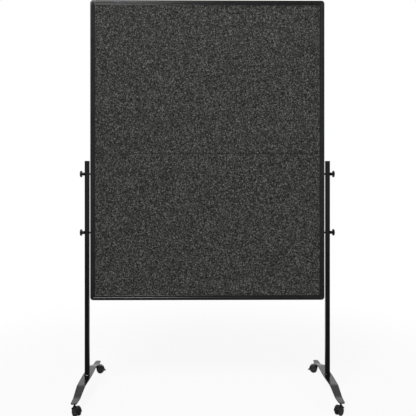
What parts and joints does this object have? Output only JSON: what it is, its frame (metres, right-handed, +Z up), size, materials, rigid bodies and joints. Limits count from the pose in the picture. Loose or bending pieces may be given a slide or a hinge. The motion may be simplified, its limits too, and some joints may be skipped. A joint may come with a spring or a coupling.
{
  "type": "mobile folding pinboard",
  "caption": "Tall felt pinboard in a slim frame that folds at mid height, clamped between two posts on arched feet with castors.",
  "frame": {"origin": "on the floor, midway between the two feet and below the middle of the board's thickness", "axes": "+Z up; the board's front faces -Y; X runs along the width of the board"},
  "size_m": [1.3066, 0.5935, 2.0073],
  "materials": {
    "frame_paint": "satin black anodised extrusion",
    "corner_plastic": "matte black moulding",
    "felt": "mottled dark grey felt",
    "core_board": "plain",
    "stand_paint": "satin black powder coat",
    "black_plastic": "satin black moulding",
    "wheel_plastic": "matte black moulding",
    "blackened_steel": "blackened",
    "zinc_steel": "zinc plated"
  },
  "bodies": {
    "stand": {"left_foot": "stand_paint", "right_foot": "stand_paint", "front_left_castor_stem": "zinc_steel", "front_right_castor_stem": "zinc_steel", "rear_left_castor_stem": "zinc_steel", "rear_right_castor_stem": "zinc_steel", "left_post": "stand_paint", "right_post": "stand_paint", "left_post_cap": "black_plastic", "right_post_cap": "black_plastic", "left_foot_bolt": "zinc_steel", "right_foot_bolt": "zinc_steel", "upper_left_clamp_nut": "zinc_steel", "upper_right_clamp_nut": "zinc_steel", "lower_left_clamp_nut": "zinc_steel", "lower_right_clamp_nut": "zinc_steel"},
    "lower_board": {"lower_left_rail": "frame_paint", "lower_right_rail": "frame_paint", "bottom_rail": "frame_paint", "bottom_left_corner": "corner_plastic", "bottom_right_corner": "corner_plastic", "lower_core": "core_board", "lower_front_felt": "felt", "lower_back_felt": "felt", "lower_edge_strip": "frame_paint", "lower_left_hinge_leaf": "frame_paint", "lower_right_hinge_leaf": "frame_paint"},
    "upper_board": {"upper_left_rail": "frame_paint", "upper_right_rail": "frame_paint", "top_rail": "frame_paint", "top_left_corner": "corner_plastic", "top_right_corner": "corner_plastic", "upper_core": "core_board", "upper_front_felt": "felt", "upper_back_felt": "felt", "upper_edge_strip": "frame_paint", "upper_left_hinge_leaf": "frame_paint", "upper_right_hinge_leaf": "frame_paint"},
    "left_lock": {"left_lock_bar": "blackened_steel"},
    "right_lock": {"right_lock_bar": "blackened_steel"},
    "upper_left_clamp": {"upper_left_knob": "black_plastic"},
    "upper_right_clamp": {"upper_right_knob": "black_plastic"},
    "lower_left_clamp": {"lower_left_knob": "black_plastic"},
    "lower_right_clamp": {"lower_right_knob": "black_plastic"},
    "front_left_castor": {"front_left_castor_housing": "black_plastic"},
    "front_left_roller_a": {"front_left_wheel_a": "wheel_plastic"},
    "front_left_roller_b": {"front_left_wheel_b": "wheel_plastic"},
    "front_right_castor": {"front_right_castor_housing": "black_plastic"},
    "front_right_roller_a": {"front_right_wheel_a": "wheel_plastic"},
    "front_right_roller_b": {"front_right_wheel_b": "wheel_plastic"},
    "rear_left_castor": {"rear_left_castor_housing": "black_plastic"},
    "rear_left_roller_a": {"rear_left_wheel_a": "wheel_plastic"},
    "rear_left_roller_b": {"rear_left_wheel_b": "wheel_plastic"},
    "left_brake": {"rear_left_brake_pedal": "black_plastic"},
    "rear_right_castor": {"rear_right_castor_housing": "black_plastic"},
    "rear_right_roller_a": {"rear_right_wheel_a": "wheel_plastic"},
    "rear_right_roller_b": {"rear_right_wheel_b": "wheel_plastic"},
    "right_brake": {"rear_right_brake_pedal": "black_plastic"}
  },
  "joints": [
    {"name": "board_height", "type": "slide", "parent": "stand", "child": "lower_board", "axis": [0, 0, 1], "range_m": [-0.06, 0.25]},
    {"name": "board_fold", "type": "hinge", "parent": "lower_board", "child": "upper_board", "pos_m": [0, 0.0154, 1.2215], "axis": [-1, 0, 0], "range_deg": [0, 180]},
    {"name": "left_lock_slide", "type": "slide", "parent": "lower_board", "child": "left_lock", "axis": [0, 0, 1], "range_m": [0, 0.03]},
    {"name": "right_lock_slide", "type": "slide", "parent": "lower_board", "child": "right_lock", "axis": [0, 0, 1], "range_m": [0, 0.03]},
    {"name": "upper_left_clamp_turn", "type": "hinge", "parent": "stand", "child": "upper_left_clamp", "pos_m": [-0.6288, 0, 1.1175], "axis": [-1, 0, 0], "continuous": true},
    {"name": "upper_right_clamp_turn", "type": "hinge", "parent": "stand", "child": "upper_right_clamp", "pos_m": [0.6288, 0, 1.1175], "axis": [1, 0, 0], "continuous": true},
    {"name": "lower_left_clamp_turn", "type": "hinge", "parent": "stand", "child": "lower_left_clamp", "pos_m": [-0.6288, 0, 0.8175], "axis": [-1, 0, 0], "continuous": true},
    {"name": "lower_right_clamp_turn", "type": "hinge", "parent": "stand", "child": "lower_right_clamp", "pos_m": [0.6288, 0, 0.8175], "axis": [1, 0, 0], "continuous": true},
    {"name": "front_left_swivel", "type": "hinge", "parent": "stand", "child": "front_left_castor", "pos_m": [-0.61675, -0.265, 0], "axis": [0, 0, 1], "continuous": true},
    {"name": "front_left_roll_a", "type": "hinge", "parent": "front_left_castor", "child": "front_left_roller_a", "pos_m": [-0.60614, -0.27561, 0.02], "axis": [0.7071, 0.7071, 0], "continuous": true},
    {"name": "front_left_roll_b", "type": "hinge", "parent": "front_left_castor", "child": "front_left_roller_b", "pos_m": [-0.60614, -0.27561, 0.02], "axis": [0.7071, 0.7071, 0], "continuous": true},
    {"name": "front_right_swivel", "type": "hinge", "parent": "stand", "child": "front_right_castor", "pos_m": [0.61675, -0.265, 0], "axis": [0, 0, 1], "continuous": true},
    {"name": "front_right_roll_a", "type": "hinge", "parent": "front_right_castor", "child": "front_right_roller_a", "pos_m": [0.60614, -0.27561, 0.02], "axis": [0.7071, -0.7071, 0], "continuous": true},
    {"name": "front_right_roll_b", "type": "hinge", "parent": "front_right_castor", "child": "front_right_roller_b", "pos_m": [0.60614, -0.27561, 0.02], "axis": [0.7071, -0.7071, 0], "continuous": true},
    {"name": "rear_left_swivel", "type": "hinge", "parent": "stand", "child": "rear_left_castor", "pos_m": [-0.61675, 0.265, 0], "axis": [0, 0, 1], "continuous": true},
    {"name": "rear_left_roll_a", "type": "hinge", "parent": "rear_left_castor", "child": "rear_left_roller_a", "pos_m": [-0.60248, 0.26964, 0.02], "axis": [-0.309, 0.9511, 0], "continuous": true},
    {"name": "rear_left_roll_b", "type": "hinge", "parent": "rear_left_castor", "child": "rear_left_roller_b", "pos_m": [-0.60248, 0.26964, 0.02], "axis": [-0.309, 0.9511, 0], "continuous": true},
    {"name": "left_brake_press", "type": "hinge", "parent": "rear_left_castor", "child": "left_brake", "pos_m": [-0.60248, 0.26964, 0.02], "axis": [-0.309, 0.9511, 0], "range_deg": [0, 15]},
    {"name": "rear_right_swivel", "type": "hinge", "parent": "stand", "child": "rear_right_castor", "pos_m": [0.61675, 0.265, 0], "axis": [0, 0, 1], "continuous": true},
    {"name": "rear_right_roll_a", "type": "hinge", "parent": "rear_right_castor", "child": "rear_right_roller_a", "pos_m": [0.60248, 0.26964, 0.02], "axis": [-0.309, -0.9511, 0], "continuous": true},
    {"name": "rear_right_roll_b", "type": "hinge", "parent": "rear_right_castor", "child": "rear_right_roller_b", "pos_m": [0.60248, 0.26964, 0.02], "axis": [-0.309, -0.9511, 0], "continuous": true},
    {"name": "right_brake_press", "type": "hinge", "parent": "rear_right_castor", "child": "right_brake", "pos_m": [0.60248, 0.26964, 0.02], "axis": [-0.309, -0.9511, 0], "range_deg": [0, 15]}
  ]
}
